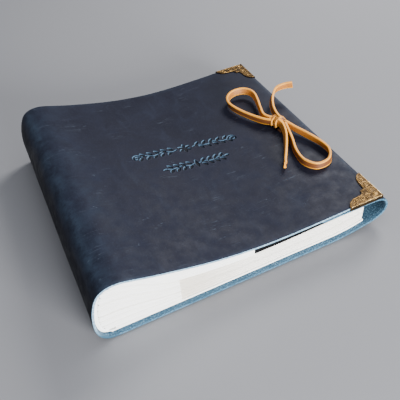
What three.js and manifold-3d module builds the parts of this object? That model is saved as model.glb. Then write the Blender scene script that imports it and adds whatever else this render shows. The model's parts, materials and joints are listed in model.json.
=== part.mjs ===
// A wedding guest book with a one-piece leather wrap cover, as a three.js scene graph.
//
// Units are millimetres and +Z is up. The book lies closed on its back cover. X runs from
// the spine to the fore edge, Y runs along the spine, and the origin is in the middle of
// the underside. One hide makes the front cover, the spine, the back cover, the loop round
// the fore edge and the flap that tucks in under the front cover. It is cut here at its
// folds, so that each stretch is a solid of its own.
import * as THREE from 'three';
import Module from 'manifold-3d';
import { mergeVertices } from 'three/addons/utils/BufferGeometryUtils.js';

// --- driving dimensions ---------------------------------------------------------------
const BOOK_WIDTH = 284; // outermost spine to outermost loop
const COVER_HEIGHT = 265; // along the spine
const PAGE_HEIGHT = 256;
const GAP = 0.3; // clearance between pieces that touch
const LEATHER = 2.1;
const COVER_END = 273.6; // the front cover's fore edge
const COVER_TOP = 38; // the front cover's level at its fore edge
const SHOULDER = [9, 57.5]; // where the front cover folds from the spine
const SPINE_OUT = 21; // height of the spine's outermost line
const SPINE_FOOT = 16; // where the underside becomes flat
const WRAP_START = 226; // where the underside leaves the table
const LOOP_MIDDLE = 20.5; // height of the loop's outermost line
const WRAP_RISE = 0.0039; // the underside's lift past WRAP_START, per mm squared
const TUCK_END = 203; // the flap's free edge, under the front cover
const TUCK_TOP = 34.5;
const TUCK_RISE = 0.3; // the flap's lift at its free edge
const TUCK_CORNER = 14; // radius of the flap's free corners

const SECTIONS = 8; // leaf sections, from the back cover up
const SECTION = 2.55; // one section with its gap, between the guards and the fore edge
const PAGES_END = 261;
const GUARD_END = 76; // the guards between the sections stop here
const HINGE_LEAF_END = 146; // the half-width leaf under the front cover stops here
const ENDPAPER = 1.4;
const LINING = 1.2;
const TAPE = 0.6;
const TAPE_WIDTH = 14;
const TAPE_COUNT = 4;

const BRASS = 0.6;
const BRASS_LEG = 35;
const BRASS_FLANGE = 7;

const LACE_WIDTH = 7.5;
const LACE_THICKNESS = 2.4;
const HOLE_X = 246;
const HOLE_Y = 6; // the two lace holes lie this far each side of the middle
const KNOT = { at: [247.5, 3, 43.8], size: [13, 17, 8.8] };

// --- materials ------------------------------------------------------------------------
const finish = (color, roughness, metalness = 0) =>
  new THREE.MeshStandardMaterial({ color, roughness, metalness });
const hide = finish(0x2b3340, 0.55);
const paper = finish(0xf2ece0, 0.9);
const card = finish(0xfafafa, 0.85);
const cloth = finish(0xe6dfcf, 0.95);
const brass = finish(0x9a7434, 0.4, 1);
const lace = finish(0xc77a2a, 0.6);

// --- outlines -------------------------------------------------------------------------
const vec = ([x, z]) => new THREE.Vector2(x, z);

// The front cover's top from its flat fore part up to the ridge over the spine.
const RIDGE = [[223, 37.4], [178, 36.7], [143, 38.3], [105, 43.7], [62, 54], [34, 62.4], [26, 63.9]];

/** The grain side of the front cover, from its fore edge over the ridge to the shoulder. */
function frontLine() {
  const path = new THREE.Path().moveTo(COVER_END, COVER_TOP);
  path.lineTo(240, COVER_TOP);
  path.splineThru(RIDGE.map(vec));
  path.bezierCurveTo(18.5, 64.4, 12.5, 62, ...SHOULDER);
  return path.getPoints(5);
}

/** The grain side of the spine, from the shoulder down to the flat underside. */
function spineLine() {
  const path = new THREE.Path().moveTo(...SHOULDER);
  path.bezierCurveTo(4, 51, 0, 36, 0, SPINE_OUT);
  path.bezierCurveTo(0, 8, 5, 0, SPINE_FOOT, 0);
  return path.getPoints(9);
}

/** The grain side of the loop, from the flat underside out to its outermost line. */
function wrapLine() {
  const path = new THREE.Path().moveTo(WRAP_START, 0);
  path.bezierCurveTo(240, 0, 254, 3, 266, 5.4);
  path.bezierCurveTo(276, 7.4, BOOK_WIDTH, 12, BOOK_WIDTH, LOOP_MIDDLE);
  return path.getPoints(6);
}

/** The grain side of the flap, from the loop's outermost line to the free edge. */
function flapLine() {
  const path = new THREE.Path().moveTo(BOOK_WIDTH, LOOP_MIDDLE);
  path.bezierCurveTo(BOOK_WIDTH, 29.5, 277, TUCK_TOP, 266, TUCK_TOP);
  path.lineTo(TUCK_END, TUCK_TOP + TUCK_RISE);
  return path.getPoints(8);
}

/** The direction from one point of a line to the next. */
const heading = (line, i) => line[i + 1].clone().sub(line[i]).normalize();

/** The line moved to its left by a distance, point by point. */
function offset(line, distance) {
  const last = line.length - 1;
  return line.map((point, i) => {
    const along = heading(line, Math.min(i, last - 1)).add(heading(line, Math.max(i - 1, 0)));
    if (last > 1 && i === 0) along.addScaledVector(heading(line, 1), -1);
    if (last > 1 && i === last) along.addScaledVector(heading(line, last - 2), -1);
    const normal = new THREE.Vector2(-along.y, along.x).normalize();
    return point.clone().addScaledVector(normal, distance);
  });
}

/** The line without a length at its start and a length at its end. */
function trimmed(line, atStart, atEnd) {
  return cutBack(cutBack(line, atStart).reverse(), atEnd).reverse();
}

/** The line without a length at its start. */
function cutBack(line, length) {
  const rest = line.map((point) => point.clone());
  let left = length;
  while (rest[0].distanceTo(rest[1]) <= left) {
    left -= rest[0].distanceTo(rest[1]);
    rest.shift();
  }
  rest[0].lerp(rest[1], left / rest[0].distanceTo(rest[1]));
  return rest;
}

/** The height or place of a line where another coordinate has a value. */
function interpolate(table, value) {
  const last = table.length - 1;
  let i = table.findIndex(([from], k) => k < last && value <= table[k + 1][0] && value >= from);
  if (i < 0) i = value < table[0][0] ? 0 : last - 1;
  const [[a, from], [b, to]] = [table[i], table[i + 1]];
  return from + ((to - from) * (value - a)) / (b - a);
}

// --- solids ---------------------------------------------------------------------------
/** A closed outline in the X-Z plane drawn out along Y, about the middle of the book. */
function alongSpine(outline, width, middle = 0) {
  const shape = new THREE.Shape(outline);
  const geometry = new THREE.ExtrudeGeometry(shape, { depth: width, bevelEnabled: false, steps: 1 });
  geometry.rotateX(Math.PI / 2);
  return geometry.translate(0, middle + width / 2, 0);
}

/** A sheet of even thickness that follows a line, its outer face on the line. */
function sheetOutline(line, from, to) {
  return [...offset(line, from), ...offset(line, to).reverse()];
}

/** A closed outline in the X-Y plane drawn up between two heights. */
function upright(outline, low, high) {
  const shape = new THREE.Shape(outline);
  const options = { depth: high - low, bevelEnabled: false, curveSegments: 6 };
  const geometry = new THREE.ExtrudeGeometry(shape, options);
  return geometry.translate(0, 0, low);
}

const wasm = await Module();
wasm.setup();

function solid(geometry) {
  const bare = geometry.clone();
  bare.deleteAttribute('normal');
  bare.deleteAttribute('uv');
  const merged = mergeVertices(bare, 1e-4);
  const vertProperties = new Float32Array(merged.attributes.position.array);
  const triVerts = new Uint32Array(merged.index.array);
  return new wasm.Manifold(new wasm.Mesh({ numProp: 3, vertProperties, triVerts }));
}

function geometryOf(manifold) {
  const { vertProperties, triVerts, numProp } = manifold.getMesh();
  const geometry = new THREE.BufferGeometry();
  const points = new THREE.InterleavedBuffer(vertProperties, numProp);
  geometry.setAttribute('position', new THREE.InterleavedBufferAttribute(points, 3, 0));
  geometry.setIndex(new THREE.BufferAttribute(triVerts, 1));
  return geometry;
}

// X is measured from the outermost line of the spine, so the book stands back by half.
const book = new THREE.Group();
book.name = 'wedding_guest_book';
book.position.x = -BOOK_WIDTH / 2;

function add(name, geometry, material, parent = book) {
  const mesh = new THREE.Mesh(geometry, material);
  mesh.name = name;
  parent.add(mesh);
  return mesh;
}

// --- the leather hide -----------------------------------------------------------------
function makeHide() {
  const slot = new THREE.BoxGeometry(LACE_THICKNESS + 1, LACE_WIDTH, 12);
  let cover = solid(alongSpine(sheetOutline(frontLine(), 0, LEATHER), COVER_HEIGHT));
  for (const y of [-HOLE_Y, HOLE_Y]) {
    cover = cover.subtract(solid(slot.clone().translate(HOLE_X, y, COVER_TOP)));
  }
  add('front_cover', geometryOf(cover), hide);

  const spine = trimmed(spineLine(), GAP, 0);
  add('spine_leather', alongSpine(sheetOutline(spine, 0, LEATHER), COVER_HEIGHT), hide);

  const back = [[SPINE_FOOT + GAP, 0], [WRAP_START - GAP, 0]].map(vec);
  add('back_cover', alongSpine(sheetOutline(back, 0, LEATHER), COVER_HEIGHT), hide);

  add('fore_edge_wrap', alongSpine(sheetOutline(wrapLine(), 0, LEATHER), COVER_HEIGHT), hide);

  const flap = trimmed(flapLine(), GAP, 0);
  const strip = solid(alongSpine(sheetOutline(flap, 0, LEATHER), COVER_HEIGHT));
  add('tuck_flap', geometryOf(strip.intersect(solid(flapPlan()))), hide);
}

/** The flap seen from above: full height at the loop, with rounded free corners. */
function flapPlan() {
  const half = COVER_HEIGHT / 2;
  const inner = half - TUCK_CORNER;
  const plan = new THREE.Path().moveTo(BOOK_WIDTH + 1, -half);
  plan.lineTo(BOOK_WIDTH + 1, half);
  plan.lineTo(TUCK_END + TUCK_CORNER, half);
  plan.absarc(TUCK_END + TUCK_CORNER, inner, TUCK_CORNER, Math.PI / 2, Math.PI, false);
  plan.absarc(TUCK_END + TUCK_CORNER, -inner, TUCK_CORNER, Math.PI, Math.PI * 1.5, false);
  return upright(plan.getPoints(6), 0, COVER_TOP);
}

// --- the page block -------------------------------------------------------------------
const lift = (x) => WRAP_RISE * Math.max(0, x - WRAP_START) ** 2;
const blockBottom = (x) => LEATHER + ENDPAPER + 2 * GAP + lift(x) + 0.2;
const BLOCK_TOP = [[10, 55.3], [22, 55.3], [34, 52], [50, 43.5], [63, 36.5], [GUARD_END, 32], [98, 28.2],
  [122, 25.6], [HINGE_LEAF_END, 23.9], [165, 23.8], [192, 24.3], [WRAP_START, 24.8], [240, 25.6],
  [PAGES_END, 28.6]];
const blockTop = (x) => interpolate(BLOCK_TOP, x);

/** Where the block's rounded back begins at a height: inside the lining and the tapes. */
const CLEAR_OF_TAPES = LEATHER + LINING + TAPE + 4 * GAP;
const BLOCK_BACK = offset(spineLine(), CLEAR_OF_TAPES).map(({ x, y }) => [y, x]).reverse();
const blockBack = (z) => interpolate(BLOCK_BACK, z);

/** Thickness of a guard with its gap at a distance from the spine. */
const guardAt = (x) => (blockTop(x) - blockBottom(x) - SECTIONS * sectionAt(x)) / (SECTIONS - 1);
const sectionAt = (x) => Math.min(SECTION, (blockTop(x) - blockBottom(x)) / SECTIONS);
const sectionFloor = (i, x) => blockBottom(x) + i * (sectionAt(x) + Math.max(0, guardAt(x)));

const STATIONS = [16, 22, 34, 50, 63, 76, 88, 98, 122, 146, 178, 213, 226, 240, 250, PAGES_END];

/** A layer of the block between two height functions, with a rounded fold at the spine. */
function layerOutline(floor, ceiling, end, start = 0) {
  const middle = (floor(16) + ceiling(16)) / 2;
  const radius = (ceiling(16) - floor(16)) / 2;
  const back = Math.max(start, blockBack(middle));
  const nose = [0.25, 0.5, 0.75].map((turn) => {
    const angle = Math.PI * (0.5 + turn);
    return new THREE.Vector2(back + radius + radius * Math.cos(angle), middle + radius * Math.sin(angle));
  });
  const first = back + radius;
  const stations = [first, ...STATIONS.filter((x) => x > first + 2 && x < end - 2), end];
  const low = stations.map((x) => new THREE.Vector2(x, floor(x)));
  const high = stations.map((x) => new THREE.Vector2(x, ceiling(x))).reverse();
  return [...low, ...high, ...nose];
}

function makeBlock() {
  for (let i = 0; i < SECTIONS; i += 1) {
    const floor = (x) => sectionFloor(i, x) + GAP;
    const ceiling = (x) => sectionFloor(i, x) + sectionAt(x);
    const name = `leaf_section_${SECTIONS - i}`;
    add(name, alongSpine(layerOutline(floor, ceiling, PAGES_END), PAGE_HEIGHT), paper);
  }
  for (let i = 1; i < SECTIONS; i += 1) {
    const floor = (x) => sectionFloor(i, x) - guardAt(x) + GAP;
    const ceiling = (x) => sectionFloor(i, x);
    const name = `guard_strip_${SECTIONS - i}`;
    add(name, alongSpine(layerOutline(floor, ceiling, GUARD_END), PAGE_HEIGHT - 2), paper);
  }
}

/** The half-width leaf that joins the block's front to the inside of the front cover. */
function makeHingeLeaf() {
  const inside = offset(frontLine(), LEATHER + GAP).map(({ x, y }) => [x, y]).reverse();
  const ceiling = (x) => interpolate(inside, x);
  const floor = (x) => blockTop(x) + GAP;
  const outline = layerOutline(floor, ceiling, HINGE_LEAF_END, 16);
  add('front_hinge_leaf', alongSpine(outline, PAGE_HEIGHT), card);
}

/** The card sheet on the inside of the back cover. */
function makeEndpaper() {
  const stations = STATIONS.filter((x) => x >= WRAP_START || x === 22);
  const low = stations.map((x) => new THREE.Vector2(x, LEATHER + GAP + lift(x)));
  const high = low.map(({ x, y }) => new THREE.Vector2(x, y + ENDPAPER)).reverse();
  add('back_endpaper', alongSpine([...low, ...high], PAGE_HEIGHT), card);
}

/** The card lining and the sewing tapes that lie round the block's back. */
function makeSpineParts() {
  const from = LEATHER + GAP;
  const around = trimmed(spineLine(), 7, 0);
  add('spine_lining', alongSpine(sheetOutline(around, from, from + LINING), PAGE_HEIGHT), card);

  const tapeFrom = from + LINING + GAP;
  const taped = trimmed(spineLine(), 9, 14);
  for (let i = 0; i < TAPE_COUNT; i += 1) {
    const middle = (PAGE_HEIGHT / TAPE_COUNT) * (i - (TAPE_COUNT - 1) / 2);
    const outline = sheetOutline(taped, tapeFrom, tapeFrom + TAPE);
    add(`sewing_tape_${i + 1}`, alongSpine(outline, TAPE_WIDTH, middle), cloth);
  }
}

// --- the brass corners ----------------------------------------------------------------
/** A corner plate from above, with its tip at the origin and its legs along -X and +Y. */
function cornerPlan(side) {
  const half = [[BRASS_LEG, 0], [34, 3.4], [31, 6.7], [26.5, 9], [21, 9.5], [15.8, 10.2]];
  const mirrored = half.map(([along, across]) => [across, along]).reverse();
  const inner = [...half, [14.5, 14.5], ...mirrored];
  return [[0, 0], ...inner].map(([along, across]) => new THREE.Vector2(-along, side * across));
}

/** A sheet-metal corner folded round the front cover's edges, open towards the leather. */
function makeCorner(name, side) {
  const wall = BRASS + GAP;
  const top = solid(upright(orient(cornerPlan(side), side), 0, BRASS));
  const skirtHeight = LEATHER + 2 * wall;
  const skirt = solid(upright(orient(skirtPlan(side), side), BRASS - skirtHeight, BRASS));
  const flangePlate = orient(flangePlan(side), side);
  const flange = solid(upright(flangePlate, BRASS - skirtHeight, 2 * BRASS - skirtHeight));
  const mesh = add(name, geometryOf(top.add(skirt).add(flange)), brass);
  mesh.position.set(COVER_END + wall, side * -1 * (COVER_HEIGHT / 2 + wall), COVER_TOP + GAP);
}

/** Points in anticlockwise order, whichever side of the book they are mirrored to. */
const orient = (points, side) => (side > 0 ? points.reverse() : points);

/** The thin wall along both edges. */
function skirtPlan(side) {
  const leg = BRASS_LEG;
  const corner = [[0, 0], [leg, 0], [leg, BRASS], [BRASS, BRASS], [BRASS, leg], [0, leg]];
  return corner.map(([along, across]) => new THREE.Vector2(-along, side * across));
}

/** The return under the leather, narrower than the plate and cut at an angle at its ends. */
function flangePlan(side) {
  const leg = BRASS_LEG - 2;
  const w = BRASS_FLANGE;
  const corner = [[0, 0], [leg, 0], [leg - w, w], [w, w], [w, leg - w], [0, leg]];
  return corner.map(([along, across]) => new THREE.Vector2(-along, side * across));
}

// --- the lace -------------------------------------------------------------------------
/** A route that keeps the flat lace standing on its edge. */
class UprightRoute extends THREE.CatmullRomCurve3 {
  computeFrenetFrames(steps) {
    const up = new THREE.Vector3(0, 0, 1);
    const tangents = Array.from({ length: steps + 1 }, (_, i) => this.getTangentAt(i / steps));
    const normals = tangents.map((t) => new THREE.Vector3().crossVectors(up, t).normalize());
    const binormals = tangents.map((t, i) => new THREE.Vector3().crossVectors(t, normals[i]));
    return { tangents, normals, binormals };
  }
}

// Routes of the strands, from the knot outwards, by the middle of the lace.
const ROUTES = {
  lace_loop_far: [[240.8, 13.5, 44.3], [239.5, 20, 44.3], [242.5, 31, 44.6], [246.5, 44, 45], [249, 56, 45.6],
    [247, 65, 46], [240.5, 70.5, 46], [230.5, 71.5, 45.4], [222.5, 67, 44.6], [218.5, 58.5, 43.8],
    [219.5, 47.5, 43.4], [224.5, 33.5, 43.2], [230.3, 21, 43.3], [235.5, 12, 43.8], [237.8, 8.5, 44]],
  lace_loop_near: [[253.6, -7, 44.8], [256.5, -17, 44], [262, -32, 43.2], [266.5, -48, 42.8], [266.5, -62, 42.5],
    [258, -73.5, 42.4], [244, -74.5, 42.4], [236.5, -63, 42.4], [238, -47, 42.4], [243.5, -31, 42.7],
    [248.2, -15, 43.8], [250.2, -8.5, 44.4]],
  lace_tail_far: [[250, 12.8, 47.4], [252, 21, 48], [257, 31.5, 49], [263.5, 40, 50.5], [271, 45, 52.5],
    [280.5, 43.5, 54.5], [287.5, 39, 56]],
  lace_tail_near: [[246.8, -8.5, 44.6], [244.5, -16, 43.8], [240, -25, 43], [234, -35, 42.6],
    [227.5, -45, 42.4], [222, -53, 42.4], [218.5, -59, 42.4]],
};

function laceSection() {
  const [w, t] = [LACE_WIDTH / 2, LACE_THICKNESS / 2];
  const corner = 0.5;
  const points = [[t, w - corner], [t - corner, w], [corner - t, w], [-t, w - corner],
    [-t, corner - w], [corner - t, -w], [t - corner, -w], [t, corner - w]];
  return new THREE.Shape(points.map(vec));
}

function makeLace() {
  for (const [name, route] of Object.entries(ROUTES)) {
    const curve = new UprightRoute(route.map((point) => new THREE.Vector3(...point)));
    const steps = Math.round(curve.getLength() / (1.5 * LACE_WIDTH));
    const options = { steps, extrudePath: curve, bevelEnabled: false };
    add(name, new THREE.ExtrudeGeometry(laceSection(), options), lace);
  }
  const knot = add('lace_knot', new THREE.SphereGeometry(0.5, 14, 10), lace);
  knot.geometry.rotateX(Math.PI / 2).scale(...KNOT.size);
  knot.position.set(...KNOT.at);
  makeInsideRun();
}

/** The lace inside the cover: flat between the two holes, and up through each of them. */
function makeInsideRun() {
  const width = LACE_WIDTH - 4 * GAP;
  const under = COVER_TOP - LEATHER - GAP;
  const thin = 0.9;
  const out = HOLE_Y + width / 2;
  const inner = HOLE_Y - width / 2;
  const top = COVER_TOP + 1;
  const outline = [[-out, under - thin], [out, under - thin], [out, top], [inner, top], [inner, under],
    [-inner, under], [-inner, top], [-out, top]];
  const depth = LACE_THICKNESS;
  const shape = new THREE.Shape(outline.map(vec));
  const geometry = new THREE.ExtrudeGeometry(shape, { depth, bevelEnabled: false });
  geometry.rotateX(Math.PI / 2).rotateZ(Math.PI / 2);
  add('lace_inside_run', geometry, lace).position.set(HOLE_X - depth / 2, 0, 0);
}

makeHide();
makeBlock();
makeHingeLeaf();
makeEndpaper();
makeSpineParts();
makeCorner('brass_corner_near', 1);
makeCorner('brass_corner_far', -1);
makeLace();

export default book;
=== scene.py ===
"""A wedding guest book: a navy leather wrap cover round a stub-bound block of pages.

Metres throughout. X runs from the spine to the fore edge, Y along the spine and Z up.
"""
import json
import math
import random

import bpy
import numpy as np
from mathutils import Matrix, Vector

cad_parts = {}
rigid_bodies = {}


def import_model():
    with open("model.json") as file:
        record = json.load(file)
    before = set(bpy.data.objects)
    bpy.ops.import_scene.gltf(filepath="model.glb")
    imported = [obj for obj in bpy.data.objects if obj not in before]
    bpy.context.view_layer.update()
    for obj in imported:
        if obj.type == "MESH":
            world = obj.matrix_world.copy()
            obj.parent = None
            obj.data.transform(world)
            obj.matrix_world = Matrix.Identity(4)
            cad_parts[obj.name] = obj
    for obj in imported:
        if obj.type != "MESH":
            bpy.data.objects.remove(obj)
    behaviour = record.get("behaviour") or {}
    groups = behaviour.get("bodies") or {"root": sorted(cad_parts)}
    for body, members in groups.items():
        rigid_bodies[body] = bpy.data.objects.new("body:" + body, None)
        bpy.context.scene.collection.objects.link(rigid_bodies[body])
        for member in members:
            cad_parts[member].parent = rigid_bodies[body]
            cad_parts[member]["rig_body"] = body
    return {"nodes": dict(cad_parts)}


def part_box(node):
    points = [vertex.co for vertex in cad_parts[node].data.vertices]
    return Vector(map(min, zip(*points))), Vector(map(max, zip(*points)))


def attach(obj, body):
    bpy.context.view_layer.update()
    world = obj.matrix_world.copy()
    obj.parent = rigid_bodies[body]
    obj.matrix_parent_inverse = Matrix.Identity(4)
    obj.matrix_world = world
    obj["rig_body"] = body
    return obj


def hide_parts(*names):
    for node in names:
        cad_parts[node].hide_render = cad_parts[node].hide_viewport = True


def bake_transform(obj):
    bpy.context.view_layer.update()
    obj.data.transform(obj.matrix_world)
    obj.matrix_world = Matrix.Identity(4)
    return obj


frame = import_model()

MM = 0.001
chance = random.Random(11)
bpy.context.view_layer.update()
UP = Vector((0, 0, 1))

# --- sizes read from the frame ---
SPINE_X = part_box("spine_leather")[0][0]
LOOP_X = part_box("tuck_flap")[1][0]
HALF_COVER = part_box("front_cover")[1][1]
HALF_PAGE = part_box("leaf_section_1")[1][1]
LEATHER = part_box("back_cover")[1][2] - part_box("back_cover")[0][2]
COVER_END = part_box("front_cover")[1][0]
COVER_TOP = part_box("lace_inside_run")[1][2] - 1 * MM
TUCK_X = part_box("tuck_flap")[0][0]
TUCK_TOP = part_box("tuck_flap")[1][2]
TUCK_ROUND = 14 * MM

# --- the section's other sizes, in millimetres ---
RIDGE = [(240, 38), (223, 37.4), (178, 36.7), (143, 38.3), (105, 43.7), (62, 54), (34, 62.4),
         (26, 63.9)]  # the grain side of the front cover, from the fore edge to the spine
FORE_EDGE = (273.6, 38)
FOLD = (9, 57.5)  # the shoulder, where the cover folds from the spine
SPINE_OUT = 21  # height of the spine's outermost line
SPINE_FOOT = 16  # where the underside becomes flat
WRAP_START = 226  # where the underside leaves the table
WRAP_RISE = 0.0039  # its lift past there, for each millimetre squared
WRAP_END = (266, 5.4)
LOOP_OUT = 20.5  # height of the loop's outermost line
FLAP_END = (203, 34.8)
SHOULDER_STEPS = 8  # spans of the cover's line from the ridge to the fold


# --- camera, light and floor ---
def deselect():
    if bpy.context.object and bpy.context.object.mode == "EDIT":
        done()
    bpy.ops.object.select_all(action="DESELECT")


def make_camera():
    """Looks down on the book's near corner, turned to the right and slightly tilted."""
    turn, down, tilt = (math.radians(a) for a in (21.515, 44.175, -5.411))
    look = Vector((math.sin(turn) * math.cos(down), math.cos(turn) * math.cos(down),
                   -math.sin(down)))
    level = look.cross(UP).normalized()
    upward = level.cross(look)
    right = level * math.cos(tilt) + upward * math.sin(tilt)
    top = upward * math.cos(tilt) - level * math.sin(tilt)
    bpy.ops.object.camera_add()
    camera = bpy.context.object
    camera.name = "camera"
    camera.data.lens = 47.656
    camera.data.clip_start = 0.01
    place = Matrix((right, top, -look)).transposed().to_4x4()
    place.translation = (-0.14154, -0.38207, 0.37658)
    camera.matrix_world = place
    bpy.context.scene.camera = camera


def area_light(name, place, target, size, power, color=(1, 1, 1)):
    bpy.ops.object.light_add(type="AREA", location=place)
    light = bpy.context.object
    light.name = name
    light.data.shape = "DISK"
    light.data.size = size
    light.data.energy = power
    light.data.color = color
    aim = Vector(target) - Vector(place)
    light.rotation_euler = aim.to_track_quat("-Z", "Y").to_euler()


def make_studio():
    area_light("window", (0.95, 0.6, 0.95), (0.05, 0, 0), 0.6, 34, (1, 0.985, 0.96))
    area_light("front_fill", (0.25, -1.3, 0.28), (0, -0.1, 0.02), 0.7, 75)
    area_light("sky", (-0.1, -0.2, 1.3), (0, 0, 0), 1.0, 7)
    world = bpy.data.worlds.new("studio")
    world.use_nodes = True
    background = world.node_tree.nodes["Background"]
    background.inputs["Color"].default_value = (0.86, 0.9, 1, 1)
    background.inputs["Strength"].default_value = 0.5
    bpy.context.scene.world = world
    deselect()
    bpy.ops.mesh.primitive_plane_add(size=6, location=(0, 0, -0.0004))
    floor = bpy.context.object
    floor.name = "floor"
    floor.data.materials.append(plain("floor_paper", (0.17, 0.173, 0.186), 0.95))


# --- materials ---
def opaque(color):
    """A colour with its alpha. A socket stays as it is."""
    return (*color, 1) if isinstance(color, tuple) else color


class Finish:
    """A material and a short way to wire its nodes."""

    def __init__(self, name, roughness, metallic=0.0, specular=0.5):
        self.material = bpy.data.materials.new(name)
        self.material.use_nodes = True
        self.tree = self.material.node_tree
        self.shader = self.tree.nodes["Principled BSDF"]
        self.feed_all(self.shader, {"Roughness": roughness, "Metallic": metallic,
                                    "Specular IOR Level": specular})
        self.last_bump = None

    def node(self, kind):
        return self.tree.nodes.new("ShaderNode" + kind)

    def feed(self, socket, value):
        if isinstance(value, bpy.types.NodeSocket):
            self.tree.links.new(value, socket)
        else:
            socket.default_value = value

    def place(self, source="UV", scale=(1, 1, 1), turn=0.0):
        """Coordinates in metres from the piece's UV map or its own space, scaled."""
        texture = self.node("TexCoord")
        mapping = self.node("Mapping")
        self.feed_all(mapping, {"Vector": texture.outputs[source], "Scale": scale,
                                "Rotation": (0, 0, turn)})
        return mapping.outputs["Vector"]

    def feed_all(self, node, values):
        for key, value in values.items():
            self.feed(node.inputs[key], value)

    def noise(self, where, scale, detail=4.0, rough=0.55, distortion=0.0):
        node = self.node("TexNoise")
        self.feed_all(node, {"Vector": where, "Scale": scale, "Detail": detail,
                             "Roughness": rough, "Distortion": distortion})
        return node.outputs["Fac"]

    def cells(self, where, scale, feature="F1"):
        node = self.node("TexVoronoi")
        node.feature = feature
        self.feed_all(node, {"Vector": where, "Scale": scale})
        return node.outputs["Distance"]

    def between(self, value, low, high, to_low=0.0, to_high=1.0):
        """A smooth step from to_low at low to to_high at high."""
        node = self.node("MapRange")
        node.interpolation_type = "SMOOTHSTEP"
        self.feed_all(node, {"Value": value, "From Min": low, "From Max": high,
                             "To Min": to_low, "To Max": to_high})
        return node.outputs["Result"]

    def math(self, operation, a, b=0.0):
        node = self.node("Math")
        node.operation = operation
        self.feed(node.inputs[0], a)
        self.feed(node.inputs[1], b)
        return node.outputs[0]

    def mix(self, amount, a, b):
        """The colour a, turning into b as the amount goes from 0 to 1."""
        node = self.node("Mix")
        node.data_type = "RGBA"
        self.feed(node.inputs[0], amount)
        self.feed(node.inputs[6], opaque(a))
        self.feed(node.inputs[7], opaque(b))
        return node.outputs[2]

    def axis(self, where, name):
        node = self.node("SeparateXYZ")
        self.feed(node.inputs[0], where)
        return node.outputs[name]

    def painted(self, name):
        """A value stored on the mesh's points."""
        node = self.node("Attribute")
        node.attribute_name = name
        return node.outputs["Fac"]

    def color(self, value):
        self.feed(self.shader.inputs["Base Color"], opaque(value))

    def roughness(self, value):
        self.feed(self.shader.inputs["Roughness"], value)

    def bump(self, height, strength, distance):
        node = self.node("Bump")
        self.feed_all(node, {"Strength": strength, "Distance": distance, "Height": height})
        if self.last_bump is not None:
            self.feed(node.inputs["Normal"], self.last_bump)
        self.last_bump = node.outputs["Normal"]
        self.feed(self.shader.inputs["Normal"], self.last_bump)


def plain(name, color, roughness):
    finish = Finish(name, roughness)
    finish.color(color)
    return finish.material


def grain_side():
    """Waxed pull-up leather: nearly black navy that pales to slate blue where it bends."""
    f = Finish("hide_grain", 0.6, specular=0.1)
    f.feed(f.shader.inputs["Specular Tint"], (0.8, 0.84, 1, 1))
    where = f.place()
    clouds = f.noise(where, 24, 9, 0.72, 0.9)
    strokes = f.noise(f.place(scale=(14, 5, 1), turn=0.5), 5, 5, 0.6, 0.9)
    color = f.mix(f.between(clouds, 0.38, 0.72), (0.0062, 0.0066, 0.0128),
                  (0.0088, 0.0102, 0.0192))
    color = f.mix(f.between(strokes, 0.5, 0.78, 0, 0.4), color, (0.0135, 0.0175, 0.031))
    grain = f.noise(where, 520, 3, 0.75)
    color = f.mix(f.between(grain, 0.5, 0.8, 0, 0.5), color, (0.02, 0.025, 0.042))
    pulled = f.painted("pulled")
    patches = f.between(f.noise(where, 44, 8, 0.78), 0.36, 0.66, 0.12, 1)
    color = f.mix(f.math("MULTIPLY", pulled, patches), color, (0.03, 0.045, 0.07))
    # Painted shade: the spine's side is darkened.
    color = f.mix(f.painted("shaded"), color, (0.0045, 0.0045, 0.006))
    hairs = f.noise(f.place(scale=(2.5, 34, 1), turn=0.35), 4, 3, 0.5, 0.15)
    hairline = f.between(f.math("ABSOLUTE", f.math("SUBTRACT", hairs, 0.5)), 0.0, 0.006, 1, 0)
    broken = f.between(f.noise(where, 38, 3), 0.52, 0.62)
    scratch = f.math("MULTIPLY", hairline, broken)
    color = f.mix(f.math("MULTIPLY", scratch, 0.35), color, (0.07, 0.09, 0.12))
    color = f.mix(f.painted("tool_floor"), color, (0.003, 0.0035, 0.006))
    # Paler pull-up on the stroke walls, with a painted highlight where they face the spine and the
    # head.
    color = f.mix(f.painted("tool_wall"), color, (0.062, 0.112, 0.17))
    f.color(color)
    mottle = f.between(f.noise(where, 90, 4), 0.3, 0.7, -0.06, 0.07)
    f.roughness(f.math("ADD", f.between(clouds, 0.35, 0.7, 0.5, 0.66), mottle))
    pores = f.cells(where, 1100)
    creases = f.cells(where, 520, "DISTANCE_TO_EDGE")
    f.bump(f.noise(where, 160, 6, 0.65), 0.25, 0.3 * MM)
    f.bump(f.between(creases, 0, 0.12), 0.06, 0.1 * MM)
    f.bump(pores, 0.25, 0.08 * MM)
    f.bump(f.math("MULTIPLY", scratch, -1), 0.4, 0.1 * MM)
    return f.material


def flesh_side():
    """The brushed blue back of the hide."""
    f = Finish("hide_flesh", 0.95, specular=0.15)
    f.feed_all(f.shader, {"Sheen Weight": 0.08, "Sheen Roughness": 0.6})
    where = f.place()
    fibres = f.noise(where, 760, 3, 0.7)
    naps = f.noise(where, 45, 5, 0.6, 0.5)
    color = f.mix(f.between(naps, 0.3, 0.7), (0.016, 0.056, 0.095), (0.028, 0.083, 0.135))
    color = f.mix(f.between(fibres, 0.52, 0.64, 0, 0.85), color, (0.14, 0.25, 0.345))
    color = f.mix(f.between(fibres, 0.47, 0.34, 0, 0.85), color, (0.005, 0.02, 0.04))
    f.color(color)
    f.bump(fibres, 0.7, 0.35 * MM)
    f.bump(naps, 0.3, 0.8 * MM)
    return f.material


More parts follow.
